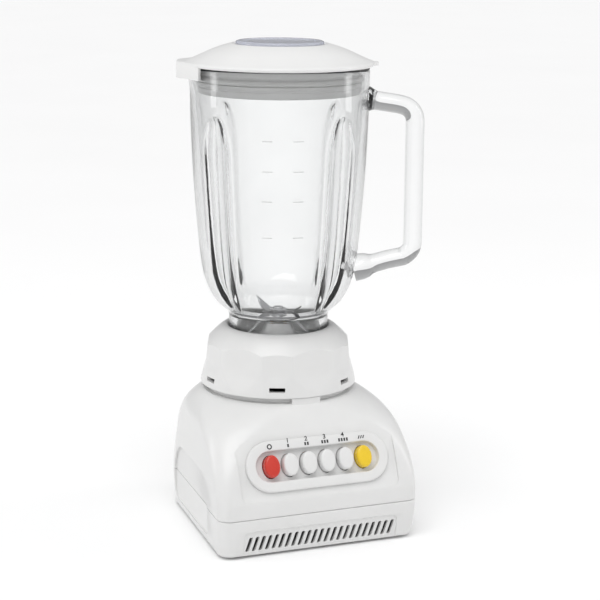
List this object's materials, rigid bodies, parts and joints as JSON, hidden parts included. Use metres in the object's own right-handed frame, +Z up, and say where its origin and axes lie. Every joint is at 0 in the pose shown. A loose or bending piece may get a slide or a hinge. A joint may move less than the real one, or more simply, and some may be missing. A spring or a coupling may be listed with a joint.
{
  "type": "countertop blender",
  "caption": "Countertop blender: white sloped motor base with push buttons and vents, threaded collar with blades, fluted glass jug with D handle, domed lid and clear filler cap.",
  "frame": {"origin": "on the drive axis of motor and blades, at table level", "axes": "+Z up along the drive axis; -Y towards the user, out of the button face; +X to the user's right. The jug stands turned so that its handle is 22 degrees from +X towards -Y"},
  "size_m": [0.1888, 0.173, 0.3853],
  "materials": {
    "white_shell": "glossy white moulded plastic",
    "red_button": "glossy red plastic",
    "yellow_button": "glossy yellow plastic",
    "dark_plastic": "matt black plastic",
    "foot_rubber": "matt black rubber",
    "seal_silicone": "matt white silicone",
    "jug_glass": "clear pressed glass",
    "tinted_clear": "clear plastic with a blue-grey tint",
    "blade_steel": "polished stainless steel",
    "plain_steel": "zinc-plated steel",
    "lamination_steel": "dull laminated steel",
    "copper": "enamelled copper",
    "bronze": "sintered bronze",
    "carbon": "pressed carbon"
  },
  "bodies": {
    "base": {"upper_housing": "white_shell", "deck_ring": "white_shell", "bottom_housing": "white_shell", "control_frame": "white_shell", "switch_body": "dark_plastic", "cord_inlet": "dark_plastic", "foot_front_left": "foot_rubber", "foot_front_right": "foot_rubber", "foot_rear_left": "foot_rubber", "foot_rear_right": "foot_rubber", "housing_screw_front_left": "plain_steel", "housing_screw_front_right": "plain_steel", "housing_screw_rear_left": "plain_steel", "housing_screw_rear_right": "plain_steel", "motor_bracket_lower": "plain_steel", "motor_bracket_upper": "plain_steel", "bearing_lower": "bronze", "bearing_upper": "bronze", "shaft_seal": "foot_rubber", "field_core": "lamination_steel", "field_coil_front": "copper", "field_coil_rear": "copper", "motor_bolt_left": "plain_steel", "motor_bolt_right": "plain_steel", "brush_holder_front": "bronze", "brush_holder_rear": "bronze", "carbon_brush_front": "carbon", "carbon_brush_rear": "carbon"},
    "rotor": {"motor_shaft": "plain_steel", "armature_core": "lamination_steel", "armature_winding_lower": "copper", "armature_winding_upper": "copper", "commutator": "copper", "cooling_fan": "dark_plastic", "drive_coupler": "dark_plastic"},
    "off_button": {"button_off": "red_button"},
    "speed_1_button": {"button_speed_1": "white_shell"},
    "speed_2_button": {"button_speed_2": "white_shell"},
    "speed_3_button": {"button_speed_3": "white_shell"},
    "speed_4_button": {"button_speed_4": "white_shell"},
    "pulse_button": {"button_pulse": "yellow_button"},
    "collar": {"collar": "white_shell", "blade_carrier": "blade_steel", "jug_gasket": "seal_silicone", "blade_bearing": "bronze"},
    "blades": {"blade_shaft": "blade_steel", "driven_coupler": "dark_plastic", "lower_blade": "blade_steel", "upper_blade": "blade_steel", "blade_nut": "blade_steel"},
    "jug": {"glass_jug": "jug_glass"},
    "lid": {"lid": "white_shell", "lid_seal": "seal_silicone"},
    "cap": {"filler_cap": "tinted_clear"}
  },
  "joints": [
    {"name": "off_press", "type": "slide", "parent": "base", "child": "off_button", "axis": [0, 0.9121, -0.4099], "range_m": [0, 0.004], "stiffness_N_per_m": 400, "springref_m": -0.002},
    {"name": "speed_1_press", "type": "slide", "parent": "base", "child": "speed_1_button", "axis": [0, 0.9121, -0.4099], "range_m": [0, 0.004]},
    {"name": "speed_2_press", "type": "slide", "parent": "base", "child": "speed_2_button", "axis": [0, 0.9121, -0.4099], "range_m": [0, 0.004]},
    {"name": "speed_3_press", "type": "slide", "parent": "base", "child": "speed_3_button", "axis": [0, 0.9121, -0.4099], "range_m": [0, 0.004]},
    {"name": "speed_4_press", "type": "slide", "parent": "base", "child": "speed_4_button", "axis": [0, 0.9121, -0.4099], "range_m": [0, 0.004]},
    {"name": "pulse_press", "type": "slide", "parent": "base", "child": "pulse_button", "axis": [0, 0.9121, -0.4099], "range_m": [0, 0.004], "stiffness_N_per_m": 400, "springref_m": -0.002},
    {"name": "rotor_spin", "type": "hinge", "parent": "base", "child": "rotor", "pos_m": [0, 0, 0.065], "axis": [0, 0, 1], "continuous": true},
    {"name": "collar_lift", "type": "slide", "parent": "base", "child": "collar", "axis": [0, 0, 1], "range_m": [0, 0.12]},
    {"name": "blade_spin", "type": "hinge", "parent": "collar", "child": "blades", "pos_m": [0, 0, 0.15], "axis": [0, 0, 1], "continuous": true},
    {"name": "jug_unscrew", "type": "hinge", "parent": "collar", "child": "jug", "pos_m": [0, 0, 0.15], "axis": [0, 0, 1], "range_deg": [0, 270]},
    {"name": "lid_lift", "type": "slide", "parent": "jug", "child": "lid", "axis": [0, 0, 1], "range_m": [0, 0.08]},
    {"name": "cap_lift", "type": "slide", "parent": "lid", "child": "cap", "axis": [0, 0, 1], "range_m": [0, 0.07]}
  ],
  "couplings": [
    {"joint": "blade_spin", "follows": "rotor_spin", "ratio": 1}
  ]
}
